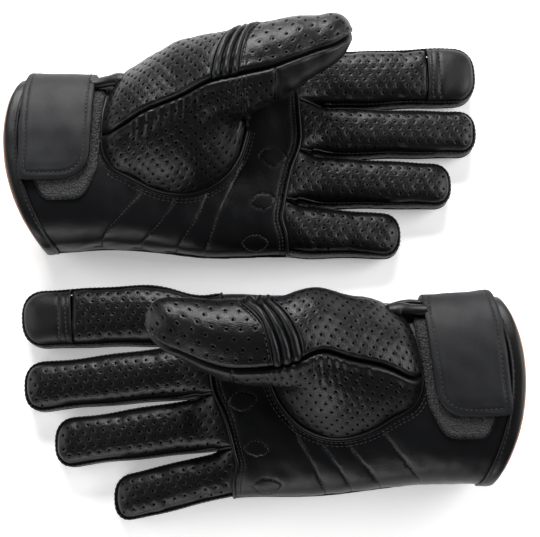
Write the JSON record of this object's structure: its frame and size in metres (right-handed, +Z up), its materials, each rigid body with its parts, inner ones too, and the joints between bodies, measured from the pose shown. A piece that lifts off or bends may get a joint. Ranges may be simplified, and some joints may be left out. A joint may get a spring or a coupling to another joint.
{
  "type": "leather driving gloves",
  "caption": "Pair of perforated leather gloves, palm up, with hook-and-loop wrist straps that peel open, swinging thumbs and hinged finger stalls.",
  "frame": {"origin": "centre of the pair's footprint, on the surface that the gloves lie on", "axes": "+X from the left glove's cuff towards its fingertips, +Y from the right glove to the left glove, +Z up, from the backs of the hands to the palms"},
  "size_m": [0.257, 0.249, 0.0698],
  "materials": {
    "smooth_leather": "fine grained black leather, satin",
    "perforated_leather": "punched black leather, satin",
    "touch_leather": "smooth black touch-screen leather",
    "side_leather": "thin black leather",
    "binding_leather": "folded black leather",
    "strap_leather": "matte charcoal leather",
    "lining_knit": "tan knitted lining",
    "foam": "thin foam",
    "loop_fabric": "black loop pile",
    "hook_tape": "black moulded hooks"
  },
  "bodies": {
    "left_palm": {"left_palm_panel": "smooth_leather", "left_back_panel": "smooth_leather", "left_hand_lining": "lining_knit", "left_palm_padding": "foam", "left_cuff_binding": "binding_leather", "left_thenar_lower_panel": "perforated_leather", "left_thenar_upper_panel": "perforated_leather", "left_thenar_piping": "binding_leather", "left_vent_binding": "binding_leather", "left_loop_pad": "loop_fabric", "left_strap_anchor": "strap_leather"},
    "left_strap": {"left_wrist_strap": "strap_leather", "left_hook_pad": "hook_tape"},
    "left_thumb": {"left_thumb_ribs": "smooth_leather", "left_thumb_tip_cap": "perforated_leather", "left_thumb_underside": "smooth_leather"},
    "left_index": {"left_index_front": "perforated_leather", "left_index_fourchette": "side_leather", "left_index_back": "smooth_leather", "left_index_touch_tip": "touch_leather"},
    "left_middle": {"left_middle_front": "perforated_leather", "left_middle_fourchette": "side_leather", "left_middle_back": "smooth_leather"},
    "left_ring": {"left_ring_front": "perforated_leather", "left_ring_fourchette": "side_leather", "left_ring_back": "smooth_leather"},
    "left_little": {"left_little_front": "perforated_leather", "left_little_fourchette": "side_leather", "left_little_back": "smooth_leather"},
    "right_palm": {"right_palm_panel": "smooth_leather", "right_back_panel": "smooth_leather", "right_hand_lining": "lining_knit", "right_palm_padding": "foam", "right_cuff_binding": "binding_leather", "right_thenar_lower_panel": "perforated_leather", "right_thenar_upper_panel": "perforated_leather", "right_thenar_piping": "binding_leather", "right_vent_binding": "binding_leather", "right_loop_pad": "loop_fabric", "right_strap_anchor": "strap_leather"},
    "right_strap": {"right_wrist_strap": "strap_leather", "right_hook_pad": "hook_tape"},
    "right_thumb": {"right_thumb_ribs": "smooth_leather", "right_thumb_tip_cap": "perforated_leather", "right_thumb_underside": "smooth_leather"},
    "right_index": {"right_index_front": "perforated_leather", "right_index_fourchette": "side_leather", "right_index_back": "smooth_leather", "right_index_touch_tip": "touch_leather"},
    "right_middle": {"right_middle_front": "perforated_leather", "right_middle_fourchette": "side_leather", "right_middle_back": "smooth_leather"},
    "right_ring": {"right_ring_front": "perforated_leather", "right_ring_fourchette": "side_leather", "right_ring_back": "smooth_leather"},
    "right_little": {"right_little_front": "perforated_leather", "right_little_fourchette": "side_leather", "right_little_back": "smooth_leather"}
  },
  "joints": [
    {"name": "left_strap_peel", "type": "hinge", "parent": "left_palm", "child": "left_strap", "pos_m": [-0.10161, 0.10516, 0.025], "axis": [-1, 0, 0], "range_deg": [0, 120]},
    {"name": "left_thumb_swing", "type": "hinge", "parent": "left_palm", "child": "left_thumb", "pos_m": [-0.02855, 0.10831, 0.052], "axis": [0, 0, 1], "range_deg": [0, 30]},
    {"name": "left_index_flex", "type": "hinge", "parent": "left_palm", "child": "left_index", "pos_m": [0.02239, 0.10586, 0.0275], "axis": [0, -1, 0], "range_deg": [0, 25]},
    {"name": "left_middle_flex", "type": "hinge", "parent": "left_palm", "child": "left_middle", "pos_m": [0.02239, 0.07646, 0.0275], "axis": [0, -1, 0], "range_deg": [0, 75]},
    {"name": "left_ring_flex", "type": "hinge", "parent": "left_palm", "child": "left_ring", "pos_m": [0.01789, 0.04946, 0.0275], "axis": [0, -1, 0], "range_deg": [0, 75]},
    {"name": "left_little_flex", "type": "hinge", "parent": "left_palm", "child": "left_little", "pos_m": [0.01539, 0.02226, 0.0275], "axis": [0, -1, 0], "range_deg": [0, 75]},
    {"name": "right_strap_peel", "type": "hinge", "parent": "right_palm", "child": "right_strap", "pos_m": [0.09835, -0.01196, 0.025], "axis": [-0.9969, -0.0785, 0], "range_deg": [0, 120]},
    {"name": "right_thumb_swing", "type": "hinge", "parent": "right_palm", "child": "right_thumb", "pos_m": [0.01945, -0.01358, 0.052], "axis": [0, 0, -1], "range_deg": [0, 18]},
    {"name": "right_index_flex", "type": "hinge", "parent": "right_palm", "child": "right_index", "pos_m": [-0.02533, -0.021, 0.0275], "axis": [-0.0785, 0.9969, 0], "range_deg": [0, 25]},
    {"name": "right_middle_flex", "type": "hinge", "parent": "right_palm", "child": "right_middle", "pos_m": [-0.02302, -0.05031, 0.0275], "axis": [-0.0785, 0.9969, 0], "range_deg": [0, 25]},
    {"name": "right_ring_flex", "type": "hinge", "parent": "right_palm", "child": "right_ring", "pos_m": [-0.01641, -0.07687, 0.0275], "axis": [-0.0785, 0.9969, 0], "range_deg": [0, 75]},
    {"name": "right_little_flex", "type": "hinge", "parent": "right_palm", "child": "right_little", "pos_m": [-0.01179, -0.10379, 0.0275], "axis": [-0.0785, 0.9969, 0], "range_deg": [0, 75]},
    {"name": "right_glove_lift", "type": "slide", "parent": "left_palm", "child": "right_palm", "axis": [0, 0, 1], "range_m": [0, 0.15]}
  ]
}
